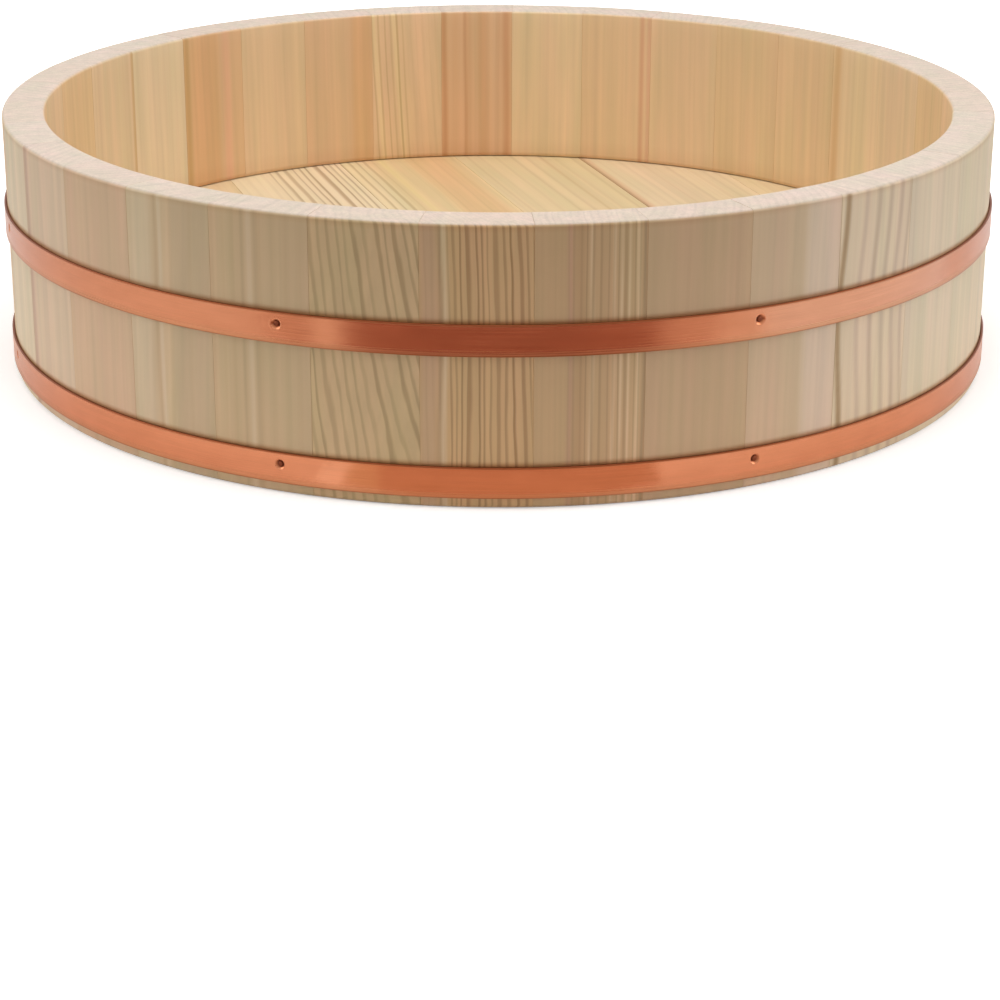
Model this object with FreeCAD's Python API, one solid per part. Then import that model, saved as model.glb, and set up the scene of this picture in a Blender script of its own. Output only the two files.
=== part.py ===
import FreeCAD, Part
import math
import os

# Hangiri: a low, wide coopered tub in which sushi rice is cooled and dressed.
# Upright staves stand edge to edge in a ring. Bamboo pegs line them up, a groove on
# their inside holds the raised floor, and two copper hoops bind them from outside.
# Millimetres, +Z up. The origin is at the centre of the tub, on the surface that it
# stands on, and -Y is its front. Angles go from the front towards +X, in degrees.

# Wall
tub_diameter = 330.0
tub_height = 85.3
wall_thickness = 13.8
rim_bevel = 1.3
foot_bevel = 1.0

# Staves. They are sawn from boards of slightly different widths, so the joints drift a
# little from an even spacing: the staves at the front are wider than those at the back.
stave_count = 33
first_joint_angle = -7.5
joint_drift = 2.3

# Floor, let into a groove (croze) that runs round the inside of the staves
floor_underside = 16.2
floor_thickness = 11.3
groove_depth = 4.5
groove_end_clearance = 0.3
groove_side_clearance = 0.15

# Floor boards, glued edge to edge. The joints lie askew to the front. The first and last
# board are narrower than the others, by these shares of a full board's width.
board_count = 7
first_board_share = 0.955
last_board_share = 0.729
board_skew = 17.5

# Bamboo pegs, split square, with a blunt point whittled at each end
peg_side_count = 4
peg_diameter = 3.0
peg_length = 22.0
peg_point_length = 2.5
peg_point_diameter = 1.4
peg_side_clearance = 0.05
peg_end_clearance = 0.4
stave_peg_below_rim = 17.7
floor_peg_spacing = 100.0

# Hoops: two copper strips, bent round the staves and lapped at the back
hoop_width = 9.6
hoop_thickness = 0.9
hoop_clearance = 0.05
upper_hoop_below_rim = 29.3
lower_hoop_height = 3.3
lap_angle = 207.3
lap_length = 28.0
lap_step_length = 5.0
lap_clearance = 0.05
lap_end_gap = 0.3

# Copper tacks that keep the hoops from creeping: a round head, down in a dimple of the
# hoop, on a square shank that narrows to its point
nail_count = 7
nail_free_arc = 60.0
nail_above_middle = 1.1
nail_head_diameter = 1.8
nail_head_thickness = 0.4
nail_shank_width = 1.1
nail_point_width = 0.3
nail_length = 9.0
nail_clearance = 0.04
dimple_diameter = 3.4
dimple_depth = 0.55

# Rivets that close each lap, hammered flat outside and flush with the strip inside
rivet_count = 2
rivet_spacing = 14.0
rivet_shank_diameter = 2.0
rivet_head_diameter = 3.8
rivet_crown_diameter = 2.4
rivet_head_height = 0.8
rivet_clearance = 0.04
rivet_sink_diameter = 3.2
rivet_sink_depth = 0.5

# Sides that stand for the round of nail heads, dimples and rivets
small_round_side_count = 8

# Sizes that follow from those above. A hoop's height is that of its lower edge.
outer_radius = tub_diameter / 2
inner_radius = outer_radius - wall_thickness
middle_radius = (outer_radius + inner_radius) / 2
groove_radius = inner_radius + groove_depth
groove_bottom = floor_underside - groove_side_clearance
groove_top = floor_underside + floor_thickness + groove_side_clearance
floor_radius = groove_radius - groove_end_clearance
board_width = 2 * floor_radius / (board_count - 2 + first_board_share + last_board_share)
stave_peg_height = tub_height - stave_peg_below_rim
upper_hoop_height = tub_height - upper_hoop_below_rim - hoop_width
hoop_radius = outer_radius + hoop_clearance
lap_radius = hoop_radius + hoop_thickness + lap_clearance
nail_seat_radius = hoop_radius + hoop_thickness - dimple_depth

up = FreeCAD.Vector(0, 0, 1)
centre = FreeCAD.Vector(0, 0, 0)


def at(radius, angle, height=0.0):
    """Point at a radius and an angle from the front."""
    turn = math.radians(angle)
    return FreeCAD.Vector(radius * math.sin(turn), -radius * math.cos(turn), height)


def along(angle):
    """Direction round the tub, level and square to the radius, at an angle."""
    return at(1.0, angle + 90.0)


def arc_angle(length, radius):
    """Angle in degrees that a length takes up on a circle."""
    return math.degrees(length / radius)


def flat(corners):
    """Flat face inside a closed outline."""
    return Part.Face(Part.makePolygon(corners + corners[:1]))


def polygon_ring(middle, direction, corner_count, radius):
    """Corners of a regular polygon round a direction, with a flat side uppermost."""
    side = direction.cross(up)
    corners = []
    for index in range(corner_count):
        turn = math.pi * (2 * index + 1) / corner_count
        spoke = up * math.cos(turn) + side * math.sin(turn)
        corners.append(middle + spoke * radius)
    return corners


def polygon_rings(middle, direction, corner_count, stations):
    """Polygons along a direction, from pairs of distance beyond the middle and radius."""
    rings = []
    for distance, radius in stations:
        rings.append(polygon_ring(middle + direction * distance, direction, corner_count, radius))
    return rings


def flat_sided(rings):
    """Solid with flat sides through rings that have as many corners each."""
    faces = [flat(rings[0]), flat(rings[-1])]
    for first, second in zip(rings, rings[1:]):
        for index in range(len(first)):
            faces.append(flat([first[index - 1], first[index], second[index], second[index - 1]]))
    shell = Part.Shell(faces)
    shell.sewShape()
    return Part.Solid(shell)


def radial_solid(angle, corner_count, stations):
    """Flat-sided solid about a radius of the tub, from pairs of distance out and radius."""
    return flat_sided(polygon_rings(centre, at(1.0, angle), corner_count, stations))


def raised(solids, height):
    """Copies of solids lifted to a height."""
    return [solid.translated(up * height) for solid in solids]


# Staves

def joint_angle(index):
    """Angle of a joint between staves."""
    even = first_joint_angle + 360.0 / stave_count * index
    return even + joint_drift * math.sin(math.radians(even))


def stave_blank(start, end):
    """Stave between two joints, with its groove for the floor and its bevelled ends."""
    section = [
        (outer_radius - foot_bevel, 0.0),
        (outer_radius, foot_bevel),
        (outer_radius, tub_height - rim_bevel),
        (outer_radius - rim_bevel, tub_height),
        (inner_radius + rim_bevel, tub_height),
        (inner_radius, tub_height - rim_bevel),
        (inner_radius, groove_top),
        (groove_radius, groove_top),
        (groove_radius, groove_bottom),
        (inner_radius, groove_bottom),
        (inner_radius, foot_bevel),
        (inner_radius + foot_bevel, 0.0),
    ]
    return flat([at(radius, start, height) for radius, height in section]).revolve(centre, up, end - start)


def stave_peg_seat(index):
    """Middle and direction of the peg at a joint between staves."""
    angle = joint_angle(index)
    return at(middle_radius, angle, stave_peg_height), along(angle)


def stave(index):
    """Stave with its peg bores and the holes that its nails make."""
    start = joint_angle(index)
    end = joint_angle(index + 1)
    cuts = [peg_bore(*stave_peg_seat(joint)) for joint in (index, index + 1)]
    for angle in nail_angles():
        off_middle = (angle - (start + end) / 2 + 180.0) % 360.0 - 180.0
        if abs(off_middle) < end - start:
            for hoop_height in (upper_hoop_height, lower_hoop_height):
                cuts += raised([nail_shank(angle, nail_clearance)], nail_height(hoop_height))
    return stave_blank(start, end).cut(cuts)


# Floor

def board_joints():
    """Distances of the joints between boards from the middle of the floor."""
    first = first_board_share * board_width - floor_radius
    return [first + board_width * step for step in range(board_count - 1)]


def floor_peg_seats(joint):
    """Middles of the pegs in a joint between boards, with the joints square to X."""
    height = floor_underside + floor_thickness / 2
    return [FreeCAD.Vector(joint, side * floor_peg_spacing / 2, height) for side in (-1, 1)]


def board(start, end):
    """Board between two joints: a strip of the round floor, bored for its pegs."""
    disc = Part.makeCylinder(floor_radius, floor_thickness, up * floor_underside)
    corner = FreeCAD.Vector(start, -floor_radius, floor_underside)
    strip = Part.makeBox(end - start, 2 * floor_radius, floor_thickness, corner)
    across = FreeCAD.Vector(1, 0, 0)
    cuts = []
    for joint in board_joints():
        if joint in (start, end):
            cuts += [peg_bore(seat, across) for seat in floor_peg_seats(joint)]
    return disc.common(strip).cut(cuts)


def laid_askew(solid):
    """Solid of the floor, turned to the direction in which the boards run."""
    return solid.rotated(centre, up, board_skew)


def boards():
    """Boards of the floor, from -X to +X."""
    edges = [-floor_radius] + board_joints() + [floor_radius]
    return [laid_askew(board(start, end)) for start, end in zip(edges, edges[1:])]


# Pegs

def peg(middle, direction):
    """Bamboo peg that narrows to a blunt point at each end."""
    tip = (peg_length / 2, peg_point_diameter / 2)
    shoulder = (peg_length / 2 - peg_point_length, peg_diameter / 2)
    stations = [(-tip[0], tip[1]), (-shoulder[0], shoulder[1]), shoulder, tip]
    return flat_sided(polygon_rings(middle, direction, peg_side_count, stations))


def peg_bore(middle, direction):
    """Bore that a peg fills, half of it on each side of the joint."""
    half = peg_length / 2 + peg_end_clearance
    radius = peg_diameter / 2 + peg_side_clearance
    return flat_sided(polygon_rings(middle, direction, peg_side_count, [(-half, radius), (half, radius)]))


def stave_pegs():
    """One peg in each joint between staves."""
    return [peg(*stave_peg_seat(index)) for index in range(stave_count)]


def floor_pegs():
    """Two pegs in each joint between boards."""
    across = FreeCAD.Vector(1, 0, 0)
    seats = [seat for joint in board_joints() for seat in floor_peg_seats(joint)]
    return [laid_askew(peg(seat, across)) for seat in seats]


# Nails

def nail_angles():
    """Angles of a hoop's nails, evenly spread over the arc that the lap leaves."""
    step = (360.0 - nail_free_arc) / (nail_count - 1)
    return [lap_angle + nail_free_arc / 2 + step * index for index in range(nail_count)]


def nail_height(hoop_height):
    """Height of a hoop's nails."""
    return hoop_height + hoop_width / 2 + nail_above_middle


def nail_shank(angle, play):
    """Square shank of a nail, thickened by a clearance, which is also the hole it makes."""
    diagonal = math.sqrt(2)
    return radial_solid(angle, 4, [
        (nail_seat_radius - nail_length - play, (nail_point_width / 2 + play) * diagonal),
        (nail_seat_radius, (nail_shank_width / 2 + play) * diagonal),
    ])


def nail(angle):
    """Nail with its head on the floor of a dimple."""
    head = radial_solid(angle, small_round_side_count, [
        (nail_seat_radius, nail_head_diameter / 2),
        (nail_seat_radius + nail_head_thickness, nail_head_diameter / 2),
    ])
    return head.fuse(nail_shank(angle, 0.0))


def nails(hoop_height):
    """Nails of one hoop."""
    return raised([nail(angle) for angle in nail_angles()], nail_height(hoop_height))


def dimple(angle):
    """Cone that sinks a nail's head below the face of a hoop."""
    seat = nail_head_diameter / 2 + nail_clearance
    slope = (dimple_diameter / 2 - seat) / dimple_depth
    depth = dimple_depth + hoop_thickness
    return radial_solid(angle, small_round_side_count, [
        (nail_seat_radius, seat),
        (nail_seat_radius + depth, seat + slope * depth),
    ])


# Rivets

def rivet_angles():
    """Angles of the rivets in a lap."""
    step = arc_angle(rivet_spacing, lap_radius)
    return [lap_angle + step * (index - (rivet_count - 1) / 2) for index in range(rivet_count)]


def rivet_stations(play):
    """Shank of a rivet with its countersunk end, thickened by a clearance."""
    shank = rivet_shank_diameter / 2 + play
    return [
        (hoop_radius, rivet_sink_diameter / 2 + play),
        (hoop_radius + rivet_sink_depth, shank),
        (lap_radius + hoop_thickness, shank),
    ]


def rivet_hole(angle):
    """Hole through both layers of a lap."""
    return radial_solid(angle, small_round_side_count, rivet_stations(rivet_clearance))


def rivet(angle):
    """Rivet with a low hammered head outside."""
    face = lap_radius + hoop_thickness
    head = [(face, rivet_head_diameter / 2), (face + rivet_head_height, rivet_crown_diameter / 2)]
    return radial_solid(angle, small_round_side_count, rivet_stations(0.0) + head)


def rivets(hoop_height):
    """Rivets of one hoop."""
    return raised([rivet(angle) for angle in rivet_angles()], hoop_height + hoop_width / 2)


# Hoops

def strip_blank():
    """Strip bent into a ring, with its outer end stepped up over its inner end."""
    half_lap = arc_angle(lap_length / 2, lap_radius)
    inner_end = lap_angle - half_lap
    outer_end = lap_angle + half_lap
    step_top = inner_end - arc_angle(lap_end_gap, lap_radius)
    step_foot = step_top - arc_angle(lap_step_length, lap_radius)

    def bend(radius, start, end):
        return Part.Arc(at(radius, start), at(radius, (start + end) / 2), at(radius, end)).toShape()

    def line(start, end):
        return Part.LineSegment(start, end).toShape()

    edges = []
    for offset in (0.0, hoop_thickness):
        ring = hoop_radius + offset
        top = lap_radius + offset
        edges.append(bend(ring, inner_end - 360.0, step_foot))
        edges.append(line(at(ring, step_foot), at(top, step_top)))
        edges.append(bend(top, step_top, outer_end))
    for radius, angle in ((hoop_radius, inner_end), (lap_radius, outer_end)):
        edges.append(line(at(radius, angle), at(radius + hoop_thickness, angle)))
    return Part.Face(Part.Wire(Part.sortEdges(edges)[0])).extrude(up * hoop_width)


def hoop(hoop_height):
    """Copper hoop, dimpled for its nails and bored for the rivets in its lap."""
    strip = strip_blank()
    middle = hoop_width / 2
    cuts = []
    for angle in nail_angles():
        cuts += raised([dimple(angle), nail_shank(angle, nail_clearance)], middle + nail_above_middle)
    cuts += raised([rivet_hole(angle) for angle in rivet_angles()], middle)
    return strip.cut(cuts).translated(up * hoop_height)


# Output

def save(name, solids):
    """Write one node, and say what it holds."""
    shape = solids[0] if len(solids) == 1 else Part.makeCompound(solids)
    shape.exportStep(os.path.join("parts", name + ".step"))
    print(name, len(shape.Solids), "solid", "%.1f cm3" % (shape.Volume / 1000), shape.isValid())


def main():
    os.makedirs("parts", exist_ok=True)
    for index in range(stave_count):
        save("stave_%02d" % (index + 1), [stave(index)])
    for number, solid in enumerate(boards(), 1):
        save("floor_board_%d" % number, [solid])
    save("stave_pegs", stave_pegs())
    save("floor_pegs", floor_pegs())
    for name, height in (("upper_hoop", upper_hoop_height), ("lower_hoop", lower_hoop_height)):
        save(name, [hoop(height)])
        save(name + "_nails", nails(height))
        save(name + "_rivets", rivets(height))


main()
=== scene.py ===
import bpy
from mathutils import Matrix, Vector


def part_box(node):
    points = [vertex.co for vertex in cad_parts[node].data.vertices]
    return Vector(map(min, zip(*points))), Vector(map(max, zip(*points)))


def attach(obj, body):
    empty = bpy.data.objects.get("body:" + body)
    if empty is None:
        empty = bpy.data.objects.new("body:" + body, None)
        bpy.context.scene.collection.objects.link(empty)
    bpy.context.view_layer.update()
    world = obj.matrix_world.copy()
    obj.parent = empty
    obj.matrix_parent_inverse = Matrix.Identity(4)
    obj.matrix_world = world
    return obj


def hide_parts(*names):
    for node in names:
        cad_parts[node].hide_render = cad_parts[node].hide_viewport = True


bl_info = {
    "name": "Hangiri rice tub",
    "version": (1, 0, 0),
    "blender": (4, 5, 0),
    "location": "View3D > Sidebar > Hangiri",
    "description": "Dresses a coopered rice tub: planed staves and floor, copper hoops and tacks",
    "category": "Object",
}

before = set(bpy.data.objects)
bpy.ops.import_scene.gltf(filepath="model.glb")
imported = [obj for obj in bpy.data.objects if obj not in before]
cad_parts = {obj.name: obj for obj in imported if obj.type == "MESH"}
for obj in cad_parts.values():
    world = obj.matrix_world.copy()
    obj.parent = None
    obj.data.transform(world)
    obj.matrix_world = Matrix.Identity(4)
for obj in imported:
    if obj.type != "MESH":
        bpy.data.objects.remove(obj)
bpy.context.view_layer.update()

import math
import random

import bpy
from bpy.props import FloatProperty, FloatVectorProperty, IntProperty, PointerProperty
from mathutils import Matrix, Vector

# The tub stands on the floor at z = 0 with its front towards -Y. Angles go from the
# front towards +X. Staves are counted from the joint just left of the front.
MM = 0.001


def linear(code):
    """Linear RGB of an sRGB hex colour."""
    channels = [int(code[start:start + 2], 16) / 255 for start in (1, 3, 5)]
    return tuple(c / 12.92 if c <= 0.04045 else ((c + 0.055) / 1.055) ** 2.4 for c in channels)


def node_box(name):
    """Lowest and highest corner of a node of the frame."""
    low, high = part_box(name)
    return Vector(low), Vector(high)


# Sizes and colours that a user would change

def a_length(name, description, default):
    return FloatProperty(
        name=name, description=description, default=default, subtype="DISTANCE", unit="LENGTH")


def an_angle(name, description, degrees):
    return FloatProperty(
        name=name, description=description, default=math.radians(degrees), subtype="ANGLE",
        unit="ROTATION")


def a_colour(name, description, code):
    return FloatVectorProperty(
        name=name, description=description, default=linear(code), subtype="COLOR", min=0, max=1)


class HangiriSizes(bpy.types.PropertyGroup):
    """Sizes of the tub, of which its height and the floor's heights come from the frame"""
    tub_diameter: a_length("Tub diameter", "Across the staves, outside, without the hoops", 0.330)
    tub_height: a_length(
        "Tub height", "From the foot of the staves to the rim", node_box("stave_01")[1].z)
    wall_thickness: a_length("Wall thickness", "Thickness of a stave", 0.0138)
    rim_round: a_length("Rim round", "Radius sanded on both edges of the rim", 0.0011)
    foot_round: a_length("Foot round", "Radius on both edges of the foot", 0.0012)
    joint_ease: a_length(
        "Joint ease", "Sliver planed off the edges at a joint between staves", 0.0001)
    first_joint: an_angle("First joint", "Angle of the first joint from the front", -7.5)
    joint_drift: an_angle("Joint drift", "How far the joints stray from an even spacing", 2.3)
    groove_depth: a_length("Groove depth", "Depth of the groove for the floor", 0.0045)
    groove_play: a_length("Groove play", "Room over and under the floor in its groove", 0.00015)
    floor_underside: a_length(
        "Floor underside", "Height of the floor's underside", node_box("floor_board_4")[0].z)
    floor_top: a_length(
        "Floor top", "Height of the floor's upper face", node_box("floor_board_4")[1].z)
    floor_skew: an_angle("Floor skew", "Turn of the boards from the front", 17.5)
    hoop_width: a_length("Hoop width", "Width of the copper strip", 0.0096)
    hoop_thickness: a_length("Hoop thickness", "Thickness of the copper strip", 0.0009)
    hoop_play: a_length("Hoop play", "Room between the strip and the staves", 0.00005)
    lap_angle: an_angle("Lap angle", "Where the strip's ends lap", 207.3)
    lap_length: a_length("Lap length", "How far the strip's ends lap", 0.028)
    dimple_diameter: a_length("Dimple diameter", "Across the dimple round a tack", 0.0034)
    dimple_depth: a_length(
        "Dimple depth", "How far a tack's head lies below the strip's face", 0.00055)
    tack_count: IntProperty(name="Tacks", description="Tacks in each hoop", default=7)
    rivet_spacing: a_length("Rivet spacing", "Distance between the two rivets of a lap", 0.014)


class HangiriColours(bpy.types.PropertyGroup):
    """Colours of the tub's finishes"""
    end_grain: a_colour("End grain", "Sanded end grain of the rim", "#D6C6B9")
    copper: a_colour("Copper", "Drawn copper strip", "#DC906A")
    # The edge colour is partly oxide on the sheared edge and partly painted shade and reflection
    copper_edge_and_shade: a_colour("Copper edge", "Sheared and oxidised edge of the strip", "#864A2C")
    tack: a_colour("Tack", "Darkened copper tack", "#8E4E35")
    bamboo: a_colour("Bamboo", "Split bamboo peg", "#D9C08A")
    backdrop: a_colour("Backdrop", "Floor that the tub stands on", "#FFFFFF")


# Cuts of wood. Tone is the colour of the wood. Pith is where the log's middle lies from the
# middle of a piece's face, across and into the wood, in mm, and lean is how far it strays in
# 100 mm of length. Ring is the width of a year's growth in mm, line the share of it that is
# dark summer wood, summer its colour and figure how strongly it shows. Waver is how many
# times more than usual the rings wander. Bands are strips of another tone and grain is where
# the rings show, as shares of the width from the side where the count of staves or boards
# begins. Sway is how far the bands swing from side to side on their way up and slant how far
# they lean in 100 mm, in shares of the width too.
CUTS = {
    "plain": dict(tone="#DBBD96", pith=(65, 35), lean=(1, 2), ring=2.4, figure=0.05),
    "pale": dict(tone="#E2C8A0", pith=(58, 30), lean=(-1, 2), ring=2.6, figure=0.06),
    "fair": dict(tone="#DAC5A2", pith=(70, 24), lean=(1, 2), ring=3.0, figure=0.08),
    "mild": dict(tone="#D7BD99", pith=(-58, 42), lean=(1, -2), ring=3.1, figure=0.07),
    "straw": dict(tone="#D6B98F", pith=(70, 24), lean=(1, 2), ring=3.0, figure=0.09),
    "cream": dict(
        tone="#E0CBAC", pith=(-70, 30), lean=(-1, 2), ring=2.6, figure=0.07,
        bands=((0.0, 0.14, "#DCC7AA"),)),
    "rosy": dict(tone="#D6B492", pith=(-60, 45), lean=(1, -2), ring=2.8, figure=0.05),
    "blush": dict(
        tone="#DDC1A3", pith=(60, 45), lean=(1, -2), ring=2.8, figure=0.05,
        bands=((0.0, 0.1, "#C7A58C"),)),
    "fawn": dict(tone="#CCAA84", pith=(-60, 45), lean=(1, -2), ring=2.8, figure=0.05),
    "dawn": dict(
        tone="#D5B593", pith=(-64, 40), lean=(1, -2), ring=2.8, figure=0.05,
        bands=((0.6, 1.0, "#E0C4AA"),)),
    "shaded": dict(
        tone="#D9C099", pith=(-66, 24), lean=(1, 2), ring=3.0, figure=0.08,
        bands=((0.84, 0.98, "#CFAC7E"),)),
    "seamed": dict(
        tone="#DEC097", pith=(60, 50), lean=(0, 1), ring=3.0, figure=0.07,
        bands=((0.0, 0.05, "#D8AF8D"), (0.1, 0.16, "#D2A582"))),
    "rusty": dict(
        tone="#DAB48C", pith=(-95, 4), lean=(0, 0), ring=5.2, figure=0.2, line=0.5,
        summer="#C49063", sway=0.008,
        bands=((0.04, 0.12, "#CE9F78"), (0.17, 0.29, "#DFBA94"), (0.34, 0.46, "#D2A780"),
               (0.64, 0.68, "#CB9D76"), (0.74, 0.86, "#E0B78E"), (0.92, 0.99, "#CB9C72"))),
    "veined": dict(
        tone="#E1C19A", pith=(-46, 26), lean=(4, -9), ring=2.5, figure=0.52, line=0.4,
        summer="#B08A58", grain=(0.45, 1.0), slant=0.27,
        bands=((0.56, 0.63, "#E8CDA0"), (0.86, 0.93, "#E8CDA0"))),
    "warm": dict(
        tone="#DAB68F", pith=(-75, 20), lean=(1, 1), ring=3.4, figure=0.08,
        bands=((0.0, 0.3, "#D9B083"),)),
    "sunset": dict(
        tone="#D4B086", pith=(70, 30), lean=(1, 1), ring=3.6, figure=0.08,
        bands=((0.2, 0.32, "#D6AA86"), (0.4, 0.88, "#D2A87B"), (0.9, 1.0, "#BF9B67"))),
    "lined": dict(
        tone="#D8BF9B", pith=(64, 28), lean=(1, 1), ring=3.2, figure=0.08,
        bands=((0.0, 0.05, "#C9A97C"),)),
    "beige": dict(
        tone="#D4B891", pith=(-52, 26), lean=(4, 3), ring=7.0, figure=0.12, line=0.3, sway=0.01,
        bands=((0.0, 0.3, "#D8BF9D"), (0.34, 0.38, "#CBAC87"), (0.39, 0.43, "#DAC2A0"),
               (0.55, 1.0, "#CBB08C"))),
    "striped": dict(
        tone="#CDB088", pith=(-75, 6), lean=(1, 0), ring=4.0, figure=0.1,
        bands=((0.33, 0.36, "#C3A680"), (0.39, 0.44, "#D8BF9B"), (0.47, 0.5, "#C3A680"))),
    "flame": dict(
        tone="#D1B285", pith=(40, 42), lean=(0, -18), ring=2.2, figure=0.6, line=0.48,
        summer="#9A7C50", waver=3.0),
    "wavy": dict(
        tone="#D4AC7B", pith=(44, 40), lean=(0, -4), ring=1.7, figure=0.78, line=0.5,
        summer="#956A3D", grain=(0.26, 1.0), sway=0.012, waver=2.6,
        bands=((0.0, 0.17, "#CDA680"), (0.17, 0.2, "#B8946C"), (0.2, 0.24, "#E2C59C"))),
    "ash": dict(
        tone="#CCA77C", pith=(72, 3), lean=(0, 0), ring=1.9, figure=0.5, line=0.45,
        summer="#A27E56", grain=(0.3, 1.0), sway=0.006,
        bands=((0.3, 0.34, "#CDA17F"), (0.36, 0.46, "#C39D72"), (0.5, 0.52, "#DFC097"),
               (0.7, 0.72, "#DFC097"), (0.76, 0.78, "#DFC097"), (0.83, 0.85, "#DFC097"),
               (0.91, 0.94, "#DFC097"), (0.97, 1.0, "#AA8C67"))),
    "ribbon": dict(
        tone="#E2CAAA", pith=(-66, 10), lean=(1, 1), ring=3.0, figure=0.08, sway=0.035,
        bands=((0.02, 0.085, "#AC8A60"), (0.27, 0.33, "#D0B599"), (0.45, 0.51, "#CBAF93"),
               (0.62, 0.68, "#CDB296"), (0.78, 0.84, "#CDB296"), (0.93, 0.97, "#CFB497"))),
}

# Cut of each stave, from stave_01 on
STAVE_CUTS = (
    "wavy", "ash", "fawn", "dawn", "ribbon", "cream", "cream", "cream", "plain", "straw", "mild",
    "shaded", "straw", "straw", "plain", "seamed", "pale", "rusty", "veined", "warm", "plain",
    "sunset", "fair", "lined", "straw", "mild", "plain", "cream", "blush", "rosy", "beige",
    "striped", "flame",
)

# Cuts of the floor boards, and the cut of each board from -X to +X
FLOOR_CUTS = {
    "quiet": dict(tone="#DDC69E", pith=(40, 60), lean=(0.4, 0.6), ring=2.6, figure=0.15),
    "honey": dict(
        tone="#E0C298", pith=(52, 30), lean=(0.3, 0.5), ring=3.6, figure=0.25, line=0.35),
    "bold": dict(
        tone="#E6D2AF", pith=(-75, 30), lean=(0.3, 0.4), ring=3.0, figure=0.75, line=0.45,
        summer="#8A6238", grain=(0.36, 1.2), waver=1.6),
    "smooth": dict(
        tone="#DBC093", pith=(-78, 30), lean=(0.3, 0.4), ring=3.0, figure=0.65, line=0.4,
        summer="#94703F", grain=(-0.2, 0.24), waver=1.6,
        bands=((-0.1, 0.22, "#E4CFA6"), (0.33, 0.38, "#E2CB94"), (0.56, 0.92, "#DAB587"))),
    "greenish": dict(
        tone="#D9C298", pith=(50, 20), lean=(0.3, 0.5), ring=5.2, figure=0.2, line=0.3,
        bands=((0.67, 0.69, "#C0A074"),)),
    "edged": dict(
        tone="#DEC7A3", pith=(60, 24), lean=(0.3, 0.5), ring=3.4, figure=0.15,
        bands=((-0.02, 0.018, "#AD8A66"), (0.025, 0.06, "#D6B490"))),
}
FLOOR_BOARD_CUTS = ("honey", "quiet", "bold", "smooth", "greenish", "edged", "quiet")

# Widths of the first and the last floor board, as shares of a full board's
FIRST_BOARD, LAST_BOARD = 0.955, 0.729

# How far the painted shade reaches up the staves above a hoop and down under the rim
HOOP_SHADE, RIM_SHADE = 0.0017, 0.0016

# Tacks sit this much above the middle of the strip, and spread over this arc past the lap
TACK_RISE, TACK_START, TACK_ARC = 0.0011, 30, 300


# Making meshes

def at(radius, angle, height):
    """Point at a radius and an angle from the front."""
    return Vector((radius * math.sin(angle), -radius * math.cos(angle), height))


def smooth(value, low, high):
    """0 below low, 1 above high, and a soft step between them."""
    share = min(max((value - low) / (high - low), 0.0), 1.0)
    return share * share * (3.0 - 2.0 * share)


def new_mesh(name, points, faces):
    mesh = bpy.data.meshes.new(name)
    mesh.from_pydata(points, [], faces)
    mesh.update()
    return mesh


def tube_faces(first, steps, count):
    """Faces of a closed tube from its first point on, through rings of as many points each."""
    faces = []
    for step in range(steps):
        here, there = first + step * count, first + (step + 1) * count
        for index in range(count):
            after = (index + 1) % count
            faces.append((here + index, here + after, there + after, there + index))
    last = first + steps * count
    faces.append(tuple(first + index for index in reversed(range(count))))
    faces.append(tuple(last + index for index in range(count)))
    return faces


def sweep(name, rings):
    """Mesh through rings of points, closed at both ends."""
    points = [point for ring in rings for point in ring]
    return new_mesh(name, points, tube_faces(0, len(rings) - 1, len(rings[0])))


def finish_mesh(mesh, material, sharp_angle=32):
    """Smooth shading with sharp corners, and a material."""
    mesh.shade_smooth()
    mesh.set_sharp_from_angle(angle=math.radians(sharp_angle))
    mesh.materials.append(material)


def arc(middle, radius, start, end, steps):
    """Points of an arc in the plane of radius and height, from and to an angle in degrees."""
    points = []
    for step in range(steps + 1):
        turn = math.radians(start + (end - start) * step / steps)
        points.append((middle[0] + radius * math.cos(turn), middle[1] + radius * math.sin(turn)))
    return points


def shrunk(outline, distance):
    """Closed outline moved inwards by a distance."""
    moved = []
    for index, (x, y) in enumerate(outline):
        before, after = outline[index - 1], outline[(index + 1) % len(outline)]
        run = Vector((after[0] - before[0], after[1] - before[1])).normalized()
        moved.append((x - run.y * distance, y + run.x * distance))
    return moved


def store(mesh, name, kind, values):
    """Give each vertex a value that a material reads."""
    layer = mesh.attributes.new(name, kind, "POINT")
    key = {"FLOAT_COLOR": "color", "FLOAT_VECTOR": "vector", "FLOAT": "value"}[kind]
    flat = values if kind == "FLOAT" else [part for value in values for part in value]
    layer.data.foreach_set(key, flat)


def tone_at(tones, share):
    """Linear colour of the wood at a share of the piece's width. A band's edges are soft."""
    tone, bands = tones
    for start, end, shade in bands:
        soft = min(0.06, 0.45 * (end - start))
        inside = smooth(share, start - soft, start + soft)
        inside *= 1 - smooth(share, end - soft, end + soft)
        if inside:
            tone = tone.lerp(shade, inside)
    return tone


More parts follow.
